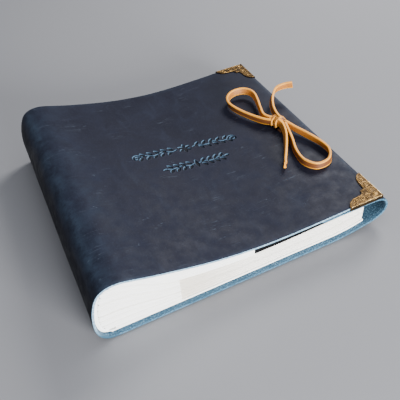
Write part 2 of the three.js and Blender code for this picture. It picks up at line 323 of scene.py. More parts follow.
def cut_edge(name, deep, pale, foot=None):
    """The raw edge of the hide, paler than its flesh side. A painted shade darkens it at the foot
    of the spine.
    """
    f = Finish(name, 0.85, specular=0.25)
    where = f.place("Object")
    fibres = f.noise(where, 760, 4, 0.7)
    color = f.mix(f.between(fibres, 0.42, 0.6), deep, pale)
    color = f.mix(f.between(f.noise(where, 60, 3), 0.5, 0.8, 0, 0.4), color, deep)
    # Painted shade: the edge is darkened towards the foot of the spine.
    if foot:
        color = f.mix(f.painted("foot"), color, foot)
    f.color(color)
    f.bump(fibres, 0.5, 0.2 * MM)
    return f.material


def page_paper(name, light, shade, stub=None):
    """Paper with a faint grain. A stub colour shows on its edges by the guards, and a beige painted
    shade past them, strongest beside the step.
    """
    f = Finish(name, 0.88, specular=0.2)
    where = f.place("Object")
    sheets = f.noise(f.place("Object", scale=(2, 2, 520)), 3, 3)
    color = f.mix(f.between(sheets, 0.3, 0.72), light, shade)
    color = f.mix(f.between(f.noise(where, 700, 3), 0.5, 0.8, 0, 0.25), color, shade)
    if stub:
        facing_up = f.math("ABSOLUTE", f.axis(f.node("NewGeometry").outputs["Normal"], "Z"))
        upright = f.math("LESS_THAN", facing_up, 0.5)
        inner = f.math("LESS_THAN", f.axis(where, "X"), GUARD_END)
        # Painted shade on the edges past the guards' step, fading towards the fore edge.
        shade_past_step = f.between(f.axis(where, "X"), GUARD_END + 5 * MM, GUARD_END + 80 * MM, 0.9, 0)
        color = f.mix(f.math("MULTIPLY", upright, shade_past_step), color, (0.62, 0.57, 0.49))
        color = f.mix(f.math("MULTIPLY", upright, inner), color, stub)
    f.color(color)
    f.bump(f.noise(where, 1600, 4, 0.7), 0.25, 0.08 * MM)
    return f.material


def woven_tape():
    f = Finish("tape_weave", 0.95, specular=0.15)
    where = f.place("Object", scale=(1, 1000, 1000))
    warp, weft = (f.math("SINE", f.math("MULTIPLY", f.axis(where, name), 3.6)) for name in "YZ")
    weave = f.math("MULTIPLY", warp, weft)
    f.color(f.mix(f.between(weave, -1, 1), (0.62, 0.57, 0.46), (0.82, 0.78, 0.68)))
    f.bump(weave, 0.5, 0.2 * MM)
    return f.material


def antique_brass(name, bright, worn, roughness):
    """Brass with brown left in its hollows."""
    f = Finish(name, roughness, metallic=1.0)
    where = f.place("Object")
    patina = f.noise(where, 260, 6, 0.65, 0.4)
    f.color(f.mix(f.between(patina, 0.35, 0.7), bright, worn))
    dull = f.noise(where, 420, 4)
    f.roughness(f.between(dull, 0.3, 0.7, roughness - 0.08, roughness + 0.16))
    f.bump(f.noise(where, 900, 5, 0.7), 0.25, 0.12 * MM)
    return f.material


def lace_leather():
    """Tan lace: orange-brown faces and paler cut edges, by the place across its width."""
    f = Finish("lace_tan", 0.58, specular=0.4)
    where = f.place()
    edge = f.painted("lace_edge")
    streaks = f.noise(f.place(scale=(40, 260, 1)), 6, 5, 0.65)
    fibres = f.noise(where, 1300, 4, 0.7)
    grain = f.mix(f.between(streaks, 0.32, 0.7), (0.085, 0.025, 0.005), (0.15, 0.048, 0.009))
    suede = f.mix(f.between(fibres, 0.4, 0.62), (0.23, 0.075, 0.01), (0.48, 0.18, 0.024))
    face = f.mix(f.between(f.painted("lace_rough"), 0.4, 0.6), grain, suede)
    cut = f.mix(f.between(fibres, 0.35, 0.65), (0.52, 0.19, 0.01), (0.76, 0.34, 0.024))
    f.color(f.mix(f.between(edge, 0.35, 0.6), face, cut))
    f.bump(fibres, 0.5, 0.25 * MM)
    return f.material


# --- lines ---
def spot(x, z):
    """A point of the hide's section: millimetres from the spine's outermost line, and up."""
    return Vector((SPINE_X + x * MM, 0, z * MM))


def bezier(a, b, c, d, count):
    """The points of a bow between a and d, without the first."""
    out = []
    for i in range(1, count + 1):
        t = i / count
        s = 1 - t
        out.append(a * s ** 3 + b * 3 * t * s ** 2 + c * 3 * t * t * s + d * t ** 3)
    return out


def through(points, count):
    """A smooth line through points, count steps to a span."""
    last = len(points) - 1
    out = [points[0]]
    for i in range(last):
        a, b, c, d = (points[min(max(k, 0), last)] for k in (i - 1, i, i + 1, i + 2))
        for step in range(1, count + 1):
            t = step / count
            bend = (c - a) * (0.5 * t) + (a * 2 - b * 5 + c * 4 - d) * (0.5 * t * t)
            out.append(b + bend + (b * 3 - a - c * 3 + d) * (0.5 * t ** 3))
    return out


def evenly(line, step):
    """The line again, with its points about step apart."""
    gone = [0.0]
    for a, b in zip(line, line[1:]):
        gone.append(gone[-1] + (b - a).length)
    count = max(2, round(gone[-1] / step))
    out, k = [], 0
    for i in range(count + 1):
        want = gone[-1] * i / count
        while k < len(gone) - 2 and gone[k + 1] < want:
            k += 1
        share = (want - gone[k]) / max(gone[k + 1] - gone[k], 1e-12)
        out.append(line[k].lerp(line[k + 1], share))
    return out


def moved_in(line, distance):
    """A line of the section, moved towards the inside of the hide."""
    out = []
    for i, point in enumerate(line):
        along = line[min(i + 1, len(line) - 1)] - line[max(i - 1, 0)]
        out.append(point + Vector((-along.z, 0, along.x)).normalized() * distance)
    return out


def cover_line():
    """The grain side from the fore edge of the front cover over its ridge to the shoulder."""
    line = [spot(*FORE_EDGE)] + through([spot(*p) for p in RIDGE], 8)
    return line + bezier(spot(*RIDGE[-1]), spot(18.5, 64.4), spot(12.5, 62), spot(*FOLD),
                         SHOULDER_STEPS)


def spine_line():
    """The grain side from the shoulder round the spine to its foot."""
    out, foot = spot(0, SPINE_OUT), spot(SPINE_FOOT, 0)
    line = [spot(*FOLD)] + bezier(spot(*FOLD), spot(4, 51), spot(0, 36), out, 12)
    return line + bezier(out, spot(0, 8), spot(5, 0), foot, 12)


def loop_line():
    """Round the fore edge, from the underside to the flap's free edge."""
    end = (LOOP_X - SPINE_X) / MM
    start, low, out = spot(WRAP_START, 0), spot(*WRAP_END), spot(end, LOOP_OUT)
    line = [start] + bezier(start, spot(240, 0), spot(254, 3), low, 10)
    line += bezier(low, spot(276, 7.4), spot(end, 12), out, 10)
    line += bezier(out, spot(end, 29.5), spot(277, 34.5), spot(266, 34.5), 10)
    return line + [spot(*FLAP_END)]


# --- small modelling steps ---
def activate(piece):
    """Makes the piece the only selected object."""
    deselect()
    piece.select_set(True)
    bpy.context.view_layer.objects.active = piece


def edit(piece, mode="FACE"):
    """Enters edit mode with nothing selected."""
    activate(piece)
    bpy.ops.object.mode_set(mode="EDIT")
    bpy.ops.mesh.select_mode(type=mode)
    bpy.ops.mesh.select_all(action="DESELECT")


def pick(piece, kind, wanted):
    """Selects the vertices, edges or faces that a test wants, in edit mode."""
    done()
    for item in getattr(piece.data, kind):
        item.select = bool(wanted(item))
    bpy.ops.object.mode_set(mode="EDIT")


def done():
    bpy.ops.object.mode_set(mode="OBJECT")


def select_all():
    bpy.ops.mesh.select_all(action="SELECT")


def outward_normals(piece):
    edit(piece)
    select_all()
    bpy.ops.mesh.normals_make_consistent(inside=False)
    done()


def apply_modifier(piece, kind, **settings):
    activate(piece)
    modifier = piece.modifiers.new(kind.lower(), kind)
    for key, value in settings.items():
        setattr(modifier, key, value)
    bpy.ops.object.modifier_apply(modifier=modifier.name)


def smooth(piece, angle):
    activate(piece)
    bpy.ops.object.shade_smooth_by_angle(angle=math.radians(angle))


def join(pieces, name):
    deselect()
    for piece in pieces:
        piece.select_set(True)
    bpy.context.view_layer.objects.active = pieces[0]
    bpy.ops.object.join()
    pieces[0].name = name
    pieces[0].data.name = name
    return pieces[0]


def sheet(name, line, half, start=0.0):
    """A sheet drawn along a line, one edge at a time, with a UV map of its flat size.

    The map's first coordinate counts from start.
    """
    deselect()
    bpy.ops.mesh.primitive_plane_add(size=2 * half)
    piece = bpy.context.object
    piece.name = name
    edit(piece, "VERT")
    pick(piece, "vertices", lambda v: v.co.x > 0)
    bpy.ops.mesh.delete(type="VERT")
    select_all()
    bpy.ops.transform.translate(value=(line[0].x + half, 0, line[0].z))
    for a, b in zip(line, line[1:]):
        bpy.ops.mesh.extrude_edges_move(TRANSFORM_OT_translate={"value": tuple(b - a)})
    done()
    gone = {}
    total = start
    for k, point in enumerate(line):
        total += (point - line[k - 1]).length if k else 0
        gone[(round(point.x, 6), round(point.z, 6))] = total
    mesh = piece.data
    uv = mesh.uv_layers.active
    for loop in mesh.loops:
        co = mesh.vertices[loop.vertex_index].co
        key = min(gone, key=lambda p: (p[0] - co.x) ** 2 + (p[1] - co.z) ** 2)
        uv.data[loop.index].uv = (gone[key], co.y)
    return piece


def face_outwards(piece, outside):
    """Turns an open sheet so that its first face looks the way a vector points."""
    outward_normals(piece)
    if piece.data.polygons[0].normal.dot(Vector(outside)) < 0:
        edit(piece)
        select_all()
        bpy.ops.mesh.flip_normals()
        done()


def add_object(name, data):
    piece = bpy.data.objects.new(name, data)
    bpy.context.collection.objects.link(piece)
    return piece


def coat(piece, finish):
    """Gives the piece one finish and no other."""
    piece.data.materials.clear()
    piece.data.materials.append(finish)


def corners(node):
    """The lowest and the highest corner of a node's box."""
    return (Vector(corner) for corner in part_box(node))


def store(piece, name, values):
    """Stores a value for each point, for the materials to read."""
    attribute = piece.data.attributes.new(name, "FLOAT", "POINT")
    attribute.data.foreach_set("value", np.asarray(values, np.float32))


def points_of(piece):
    out = np.empty(len(piece.data.vertices) * 3)
    piece.data.vertices.foreach_get("co", out)
    return out.reshape(-1, 3)


def set_points(piece, points):
    piece.data.vertices.foreach_set("co", points.ravel())
    piece.data.update()


def ease(values, low, high):
    """0 below low, 1 above high and smooth between them."""
    t = np.clip((values - low) / (high - low), 0, 1)
    return t * t * (3 - 2 * t)


# --- the hide ---
def add_rows(piece, rows):
    """Splits a drawn sheet across its width into rows."""
    edit(piece, "EDGE")
    ends = [v.co.copy() for v in piece.data.vertices]

    def crosses(edge):
        return abs(ends[edge.vertices[0]].y - ends[edge.vertices[1]].y) > HALF_COVER

    pick(piece, "edges", crosses)
    bpy.ops.mesh.subdivide(number_cuts=rows - 1)
    done()


def relax(piece, height):
    """Gives a hide the slight unevenness of soft leather, fading out at its outline."""
    points = points_of(piece)
    normals = np.array([v.normal for v in piece.data.vertices])
    along, across = points[:, 0] / 0.1, points[:, 1] / 0.1
    swell = np.sin(3.1 * along + 1.9 * across) + 0.8 * np.sin(5.3 * across - 2.2 * along + 1)
    swell += 0.5 * np.sin(9.1 * along + 4.0 * across + 2)
    inside = ease(HALF_COVER - np.abs(points[:, 1]), 0, 0.05)
    inside = inside * ease(COVER_END - points[:, 0], 0, 0.06)
    points += normals * (height * swell * inside)[:, None]
    set_points(piece, points)


def thicken_hide(piece, finishes):
    """Gives the sheet its thickness. The finishes are its grain, flesh and cut edges."""
    for finish in finishes:
        piece.data.materials.append(finish)
    apply_modifier(piece, "SOLIDIFY", thickness=LEATHER, offset=-1, use_rim=True,
                   use_even_offset=True, material_offset=1, material_offset_rim=2)
    apply_modifier(piece, "BEVEL", width=0.45 * MM, segments=2, limit_method="ANGLE",
                   angle_limit=math.radians(60))
    smooth(piece, 50)


def in_mm(points):
    """X from the spine, Y and Z of points, in millimetres."""
    return (points[:, 0] - SPINE_X) / MM, points[:, 1] / MM, points[:, 2] / MM


def hump(x, middle, width):
    return np.exp(-((x - middle) / width) ** 2)


def paint_pull_and_shade(piece):
    """Stores where the hide is pulled pale, where painted shade darkens the cut edge at its foot,
    and where painted shade darkens the spine's side.
    """
    x, y, z = in_mm(points_of(piece))
    ridge = hump(x, 13, 6) * (z > 50)
    slope = 0.22 * hump(x, 26, 22) * (z > 34)
    rim = np.exp(-(HALF_COVER / MM - np.abs(y)) / 2.2) + np.exp(-np.abs(FORE_EDGE[0] - x) / 2.5)
    loop = hump(x, (LOOP_X - SPINE_X) / MM, 10)
    store(piece, "pulled", np.clip(0.6 * ridge + slope + 0.45 * rim + 0.6 * loop, 0, 1))
    # Painted shade for the cut edge, growing towards the foot of the spine.
    store(piece, "foot", ease(-z, -26, -5))
    # Painted shade on the spine's side, which faces away from the light.
    store(piece, "shaded", np.clip(0.75 * ease(-x, -12, -1) * (z < 52), 0, 1))


def shares(count):
    """The numbers from 0 to 1 in a count of even steps."""
    return [i / count for i in range(count + 1)]


def leaf_stroke(s, t, turn, length, width):
    """A leaf as a stroke that swells in the middle: points and their radii."""
    run, rise = (length * part(math.radians(turn)) for part in (math.cos, math.sin))
    points = [(s + run * u, t + rise * u) for u in shares(24)]
    return points, [0.3 + width * math.sin(math.pi * u) for u in shares(24)]


def curl_stroke(s, t, radius, turns, start, sense):
    """A scroll that winds in towards its middle and ends in a bead."""
    points = []
    for u in shares(90):
        angle = math.radians(start) + sense * turns * 2 * math.pi * u
        reach = radius * (1 - 0.78 * u)
        points.append((s + math.cos(angle) * reach, t + math.sin(angle) * reach))
    return points, [0.75 + 0.25 * u ** 6 for u in shares(90)]


def stem_stroke(start, end, height, waves):
    """A waved stem from start to end."""
    points = [(start + (end - start) * u, height * math.sin(waves * 2 * math.pi * u))
              for u in shares(160)]
    return points, [0.6] * len(points)


def upper_row():
    """A rosette with a waved stem of leaves and a scroll to each side."""
    strokes = [leaf_stroke(0, 0, turn, 6.6, 1.3) for turn in (30, 90, 150, 210, 270, 330)]
    for side in (-1, 1):
        strokes.append(stem_stroke(side * 9, side * 46, 1.5 * side, 2))
        for s in (12, 19.5, 27, 34.5, 42):
            strokes.append(leaf_stroke(side * s, 0.5, 90 - side * 35, 6.6, 1.35))
            strokes.append(leaf_stroke(side * (s + 3.4), -0.5, -90 + side * 35, 5.8, 1.2))
        strokes.append(curl_stroke(side * 51, 0.2, 4.6, 1.25, 90 + side * 90, -side))
    return strokes


def lower_row():
    """A shorter row: a middle leaf, and a stem with pairs of leaves to each side."""
    strokes = [leaf_stroke(0, -5.6, 90, 11.2, 1.5)]
    for side in (-1, 1):
        strokes.append(stem_stroke(side * 3, side * 29, 0.9 * side, 1.5))
        for s in (5.5, 12, 18.5, 25):
            strokes.append(leaf_stroke(side * s, 0.4, 90 - side * 34, 6.4, 1.35))
            strokes.append(leaf_stroke(side * s, -0.4, -90 + side * 34, 6.4, 1.35))
        strokes.append(leaf_stroke(side * 30, 0, 90 - side * 90, 4.2, 1.1))
    return strokes


def ornament_points():
    """Every stroke as discs on the cover, in millimetres from the spine and the middle."""
    discs = []
    rows = ((upper_row(), 146.7, lambda s: 18.0 - 0.083 * s - 0.00138 * s * s),
            (lower_row(), 148.0, lambda s: -9.5 - 0.054 * s))
    for strokes, middle, centre in rows:
        for points, radii in strokes:
            for (s, t), radius in zip(points, radii):
                discs.append((middle + s, centre(s) + t, radius))
    return np.array(discs)


def stroke_distance(points, discs):
    """How far each point lies outside the nearest stroke, in millimetres, and on which side.

    The distance is negative within a stroke. The side is 1 towards the spine and the head.
    """
    x, y, _ = in_mm(points)
    nearest = np.full(len(points), 1e3)
    side = np.zeros(len(points))
    for disc in discs:
        reach = np.hypot(x - disc[0], y - disc[1])
        closer = reach - disc[2] < nearest
        nearest = np.where(closer, reach - disc[2], nearest)
        faced = ((y - disc[1]) * 0.87 - (x - disc[0]) * 0.5) / np.maximum(reach, 1e-6)
        side = np.where(closer, faced, side)
    return nearest, side


def deboss(piece):
    """Presses the ornament into the grain side of the cover. Its stroke walls are stored paler,
    brighter still as a painted highlight where they face the spine and the head.
    """
    discs = ornament_points()
    low, high = discs[:, :2].min(0) - 4, discs[:, :2].max(0) + 4

    def near(face):
        x, y = (face.center.x - SPINE_X) / MM, face.center.y / MM
        outside = face.material_index == 0 and face.normal.z > 0.5
        return outside and low[0] < x < high[0] and low[1] < y < high[1]

    edit(piece)
    pick(piece, "polygons", near)
    bpy.ops.mesh.subdivide(number_cuts=6)
    done()
    away, _ = stroke_distance(points_of(piece), discs)
    edit(piece)
    pick(piece, "polygons", lambda f: near(f) and abs(away[list(f.vertices)]).min() < 0.45)
    bpy.ops.mesh.subdivide(number_cuts=1)
    done()
    points = points_of(piece)
    x, y, _ = in_mm(points)
    outer = np.array([v.normal.z for v in piece.data.vertices]) > 0.5
    window = outer & (x > low[0]) & (x < high[0]) & (y > low[1]) & (y < high[1])
    away = np.full(len(points), 9.0)
    side = np.zeros(len(points))
    away[window], side[window] = stroke_distance(points[window], discs)
    depth, rise = 0.8, 0.1
    pressed = 1 - ease(away, -0.32, 0.22)
    lip = hump(away, 0.75, 0.45) * (away > 0)
    points[:, 2] += (rise * lip - depth * pressed) * MM
    set_points(piece, points)
    # Painted highlight: walls facing the spine and the head are made the palest.
    lit = np.clip(0.25 + 0.9 * side, 0.08, 1)
    store(piece, "tool_wall", hump(away, 0.1, 0.34) * lit)
    store(piece, "tool_floor", pressed)


def cut_lace_holes(piece, spots):
    """Two slots through the cover for the lace."""
    for x, y in spots:
        deselect()
        bpy.ops.mesh.primitive_cube_add(size=1, location=(x, y, COVER_TOP),
                                        scale=(3 * MM, 6 * MM, 12 * MM))
        cutter = bpy.context.object
        apply_modifier(piece, "BOOLEAN", operation="DIFFERENCE", object=cutter, solver="EXACT")
        bpy.data.objects.remove(cutter)


def make_cover_hide(finishes):
    """Front cover and spine: from the fore edge over the ridge and down to the foot."""
    top = cover_line()
    line = evenly(top[:-SHOULDER_STEPS], 3.4 * MM)
    line += evenly(top[-SHOULDER_STEPS - 1:], 1.3 * MM)[1:]
    line += evenly(spine_line(), 2.4 * MM)[1:]
    piece = sheet("cover_hide", line, HALF_COVER)
    add_rows(piece, 78)
    face_outwards(piece, (0, 0, 1))
    relax(piece, 0.16 * MM)
    thicken_hide(piece, finishes)
    cut_lace_holes(piece, [(HOLE_X, -HOLE_Y), (HOLE_X, HOLE_Y)])
    deboss(piece)
    paint_pull_and_shade(piece)
    smooth(piece, 50)
    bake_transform(piece)
    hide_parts("front_cover", "spine_leather")


def round_flap(piece):
    """Draws in the rows at the flap's free edge, so that its corners are round."""
    points = points_of(piece)
    on_flap = (points[:, 2] > TUCK_TOP - 4 * MM) & (points[:, 0] < TUCK_X + TUCK_ROUND)
    reach = np.clip(TUCK_ROUND - (points[:, 0] - TUCK_X), 0, TUCK_ROUND)
    half = HALF_COVER - TUCK_ROUND + np.sqrt(TUCK_ROUND ** 2 - reach ** 2)
    points[on_flap, 1] *= (half / HALF_COVER)[on_flap]
    set_points(piece, points)
    uv = piece.data.uv_layers.active
    for loop in piece.data.loops:
        uv.data[loop.index].uv[1] = points[loop.vertex_index, 1]


def make_back_hide(finishes):
    """Back cover, the loop round the fore edge and the flap that tucks in."""
    flat = evenly([spot(SPINE_FOOT, 0), spot(WRAP_START, 0)], 9 * MM)
    round_part = evenly(loop_line(), 2 * MM)
    piece = sheet("back_hide", flat + round_part[1:], HALF_COVER, 0.36)
    add_rows(piece, 66)
    face_outwards(piece, (0, 0, -1))
    round_flap(piece)
    thicken_hide(piece, finishes)
    paint_pull_and_shade(piece)
    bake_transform(piece)
    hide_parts("back_cover", "fore_edge_wrap", "tuck_flap")


# --- the page block ---
SECTIONS = 8
LEAVES = 7
SECTION = 2.55 * MM
PAGES_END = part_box("leaf_section_1")[1][0]
GUARD_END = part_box("guard_strip_1")[1][0]
HINGE_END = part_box("front_hinge_leaf")[1][0]


def height_of(line):
    """The height of a line at any X, from its points."""
    ordered = sorted(((p.x, p.z) for p in line), key=lambda p: p[0])
    xs, zs = zip(*ordered)
    return lambda x: float(np.interp(x, xs, zs))


TOP_POINTS = [(8, 55.3), (22, 55.3), (34, 52), (50, 43.5), (63, 36.5), (76, 32), (98, 28.2),
              (122, 25.4), (146, 23.5), (165, 23.1), (192, 23.6), (212, 24.4), (226, 24.8),
              (240, 25.6), (261, 28.6)]
block_top = height_of(through([spot(*p) for p in TOP_POINTS], 6))
cover_inside = height_of(moved_in(cover_line(), LEATHER + 0.35 * MM)[:-6])


def block_bottom(x):
    """The underside of the pages, over the back cover and its white sheet."""
    sheet_and_gaps = 2.2
    lifted = max(0, (x - SPINE_X) / MM - WRAP_START)
    return LEATHER + (sheet_and_gaps + WRAP_RISE * lifted ** 2) * MM


def section_height(x):
    return min(SECTION, (block_top(x) - block_bottom(x)) / SECTIONS)


def guard_height(x):
    spare = block_top(x) - block_bottom(x) - SECTIONS * section_height(x)
    return max(0, spare / (SECTIONS - 1))


def section_floor(i, x):
    return block_bottom(x) + i * (section_height(x) + guard_height(x))


SPINE_LAYERS = 5.7 * MM  # the hide, the lining and the tapes, with their gaps
BACK_LINE = sorted(((p.z, p.x) for p in moved_in(spine_line(), SPINE_LAYERS)),
                   key=lambda p: p[0])
BACK_AT = SPINE_X + 16 * MM  # where a section's height is taken for its back


def block_back(z):
    """Where the block's rounded back begins at a height."""
    return float(np.interp(z, *zip(*BACK_LINE)))


def layer(name, floor, ceiling, start, end, half, inset=0.0):
    """A thin closed layer between two height functions, drawn from the spine outwards.

    Past the guards it may be narrower by an inset at its head and its tail.
    """
    count = max(2, round((end - start) / (7 * MM)))
    xs = [start + (end - start) * share ** 1.15 for share in shares(count)]
    if inset:
        step = [GUARD_END - 0.1 * MM, GUARD_END + 0.1 * MM]
        xs = sorted([x for x in xs if abs(x - GUARD_END) > 2 * MM] + step)
    piece = sheet(name, [Vector((x, 0, floor(x))) for x in xs], half)
    edit(piece)
    select_all()
    far_up = 0.1
    bpy.ops.mesh.extrude_region_move(TRANSFORM_OT_translate={"value": (0, 0, far_up)})
    done()
    for vertex in piece.data.vertices:
        if vertex.co.z > 0.8 * far_up:
            vertex.co.z = ceiling(vertex.co.x)
        if vertex.co.x > GUARD_END:
            vertex.co.y *= 1 - inset / half
    outward_normals(piece)
    return piece


def stack(name, floor, ceiling, count, fill, start, end, spread, inset=0.0):
    """Layers one over the other between two heights, each cut a little differently."""
    def level(layers_below):
        return lambda x: floor(x) + (ceiling(x) - floor(x)) * layers_below / count

    layers = []
    for j in range(count):
        low, high = level(j + (1 - fill) / 2), level(j + (1 + fill) / 2)
        back = start + 1.5 * MM * (1 - math.sqrt(1 - ((2 * j + 1) / count - 1) ** 2))
        edge = end + chance.uniform(-spread, spread)
        wide = HALF_PAGE + chance.uniform(-spread, spread) * 0.7
        layers.append(layer(f"{name}_{j}", low, high, back, edge, wide, inset))
    return join(layers, name)


def paint_slit_shade(pages):
    """Painted shade: the top of the first leaf is made black where the hinge leaf doesn't cover it,
    in the slit under the cover's edge.
    """
    pages.data.materials.append(plain("flyleaf_black", (0.0012, 0.002, 0.0042), 1.0))
    for face in pages.data.polygons:
        high = block_top(face.center.x) - 0.36 * MM
        if face.center.x > HINGE_END - 6 * MM and face.center.z > high:
            face.material_index = 1


def make_pages(paper, body_of):
    """The sections, from the back cover up. Past the guards each fills the gap above it."""
    for i in range(SECTIONS):
        k = SECTIONS - i
        spare = lambda x, i=i: guard_height(x) if i < SECTIONS - 1 and x > GUARD_END else 0
        floor = lambda x, i=i: section_floor(i, x) + 0.03 * MM
        ceiling = lambda x, i=i: section_floor(i, x) + section_height(x) + spare(x) - 0.02 * MM
        back = block_back((floor(BACK_AT) + ceiling(BACK_AT)) / 2)
        pages = stack(f"pages_{k}", floor, ceiling, LEAVES, 0.93, back, PAGES_END,
                      0.22 * MM, 1.4 * MM)
        coat(pages, paper)
        # The slit under the cover's edge gets painted shade on the first leaf.
        if k == 1:
            paint_slit_shade(pages)
        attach(pages, body_of[f"leaf_section_{k}"])
        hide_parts(f"leaf_section_{k}")


def make_guards(paper, body_of):
    """The folded stubs that fan the sections apart along the spine."""
    for i in range(1, SECTIONS):
        k = SECTIONS - i
        floor = lambda x, i=i: section_floor(i, x) - guard_height(x) + 0.05 * MM
        ceiling = lambda x, i=i: section_floor(i, x) + 0.05 * MM
        back = block_back(ceiling(BACK_AT) - 1.5 * MM)
        stubs = stack(f"guards_{k}", floor, ceiling, 4, 0.95, back, GUARD_END, 0.2 * MM)
        coat(stubs, paper)
        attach(stubs, body_of[f"guard_strip_{k}"])
        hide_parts(f"guard_strip_{k}")


def make_hinge_leaf(card):
    """The stubs and the half-width leaf between the block and the inside of the cover."""
    start = SPINE_X + 20 * MM
    floor = lambda x: block_top(x) + 0.3 * MM
    leaf = stack("hinge_leaf", floor, cover_inside, 14, 0.95, start, HINGE_END, 0.25 * MM)
    coat(leaf, card)
    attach(leaf, "front")
    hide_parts("front_hinge_leaf")


def head_band(side):
    """A short strip that fills the back of the block at its head or its tail."""
    line = evenly(moved_in(spine_line(), LEATHER + 1.6 * MM), 2.2 * MM)[2:-3]
    band = sheet("band", line, 5 * MM)
    face_outwards(band, (-1, 0, 0))
    apply_modifier(band, "SOLIDIFY", thickness=2 * MM, offset=-1)
    points = points_of(band)
    points[:, 1] += side * (HALF_PAGE - 5 * MM)
    set_points(band, points)
    return band


def make_cards(card):
    """The card round the spine's inside and the sheet on the inside of the back cover."""
    line = evenly(moved_in(spine_line(), LEATHER + 0.3 * MM), 2.2 * MM)[2:]
    for point in line:
        point.z += 1.3 * MM * float(ease(0.009 - point.z, 0, 0.006))
    lining = sheet("spine_card", line, HALF_PAGE + 0.3 * MM)
    face_outwards(lining, (-1, 0, 0))
    apply_modifier(lining, "SOLIDIFY", thickness=1.2 * MM, offset=-1)
    ends = [head_band(side) for side in (-1, 1)]
    lining = join([lining] + ends, "spine_card")
    smooth(lining, 30)
    floor = lambda x: block_bottom(x) - 1.9 * MM
    ceiling = lambda x: block_bottom(x) - 0.05 * MM
    endpaper = layer("endpaper", floor, ceiling, SPINE_X + 12.5 * MM, PAGES_END + 0.5 * MM,
                     HALF_PAGE)
    for piece, node in ((lining, "spine_lining"), (endpaper, "back_endpaper")):
        coat(piece, card)
        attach(piece, "back")
        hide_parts(node)


# --- the lace ---
LACE_WIDTH = 7.5 * MM
LACE_THICKNESS = 2.4 * MM
HOLE_X = (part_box("lace_inside_run")[0][0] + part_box("lace_inside_run")[1][0]) / 2
HOLE_Y = 6 * MM

# The strands: which face is the rough one (1 for the left of its travel, -1 for the right),
# how far each leans over from its start to its end, and its middle from the knot outwards,
# in millimetres from the spine, from the middle of the cover and up.
STRANDS = {
    "lace_loop_far": (1, lambda u: 0.22 * math.sin(math.pi * u), [
        (244, 8.5, 44.5), (240.8, 13.5, 44.3), (239.5, 20, 44.3), (242.5, 31, 44.6),
        (246.5, 44, 45), (249, 56, 45.6), (247, 65, 46), (240.5, 70.5, 46), (230.5, 71.5, 45.4),
        (222.5, 67, 44.6), (218.5, 58.5, 43.8), (219.5, 47.5, 43.4), (224.5, 33.5, 43.2),
        (230.3, 21, 43.3), (236, 11, 43.8), (241, 5.5, 44.3)
    ]),
    "lace_loop_near": (-1, lambda u: 0.1, [
        (252.6, -4.5, 44.8), (256.5, -17, 44), (262, -32, 43.2), (266.5, -48, 42.8),
        (266.5, -62, 42.5), (258, -73.5, 42.4), (244, -74.5, 42.4), (236.5, -63, 42.4),
        (238, -47, 42.4), (243.5, -31, 42.7), (248.2, -15, 43.8), (250.6, -6, 44.4)
    ]),
    "lace_tail_far": (-1, lambda u: 0.3 * math.sin(math.pi * u), [
        (249.5, 1, 47), (249.5, 10, 47.4), (252, 21, 48), (257, 31.5, 49), (263.5, 40, 50.5),
        (271, 45, 52.5), (280.5, 43.5, 54.5), (287.5, 39, 56)
    ]),
    "lace_tail_near": (-1, lambda u: -0.22 + 0.1 * u, [
        (245.8, 0.5, 46), (247, -6.5, 44.8), (244.5, -16, 43.8), (240, -25, 43), (234, -35, 42.6),
        (227.5, -45, 42.4), (222, -53, 42.4), (218.5, -59, 42.4)
    ]),
}
# The knot's strands: the route, how wide the lace is squeezed and the way its width points.
KNOT_STRANDS = {
    "wrap_far": ([
        (253, 7.4, 40.6), (253, 7.2, 44.5), (250, 7.4, 47.6), (245.5, 7.2, 47.7), (241.6, 6, 45),
        (240.4, 4, 41)
    ], 0.56, (0.08, 1, 0)),
    "wrap_near": ([
        (254.6, 1.4, 40.6), (254.5, 1.6, 45), (251.5, 2.2, 48.2), (247, 2.4, 48.3),
        (243.2, 0.8, 45.2), (242.2, -2, 41)
    ], 0.5, (0.08, 1, 0)),
    "cross_over": ([
        (247.5, 6.5, 45.2), (249.4, 3.2, 47.8), (250.8, -0.2, 47.9), (251.6, -3.4, 45.8),
        (251.6, -6, 42.6)
    ], 0.66, (1, 0.35, 0)),
    "bundle_left": (
        [(242, 10, 44.2), (245.5, 3, 44.4), (249, -4, 44.2), (250, -9, 43.6)], 0.8, None),
    "bundle_right": (
        [(244.5, 10.5, 44.4), (248.5, 3.5, 44.8), (252, -3.5, 44.6), (253.5, -8, 44)], 0.8, None),
}


def strap_section(squeeze=1.0):
    """The lace's section: thickness and width, with softened corners."""
    w, t, r = squeeze * LACE_WIDTH / 2, LACE_THICKNESS / 2, 0.55 * MM
    quarter = [(t, 0), (t, w * 0.5), (t, w - r), (t - r * 0.3, w - r * 0.3), (t - r, w)]
    half = quarter + [(-a, b) for a, b in reversed(quarter)]
    return half + [(-a, -b) for a, b in half[1:-1]]


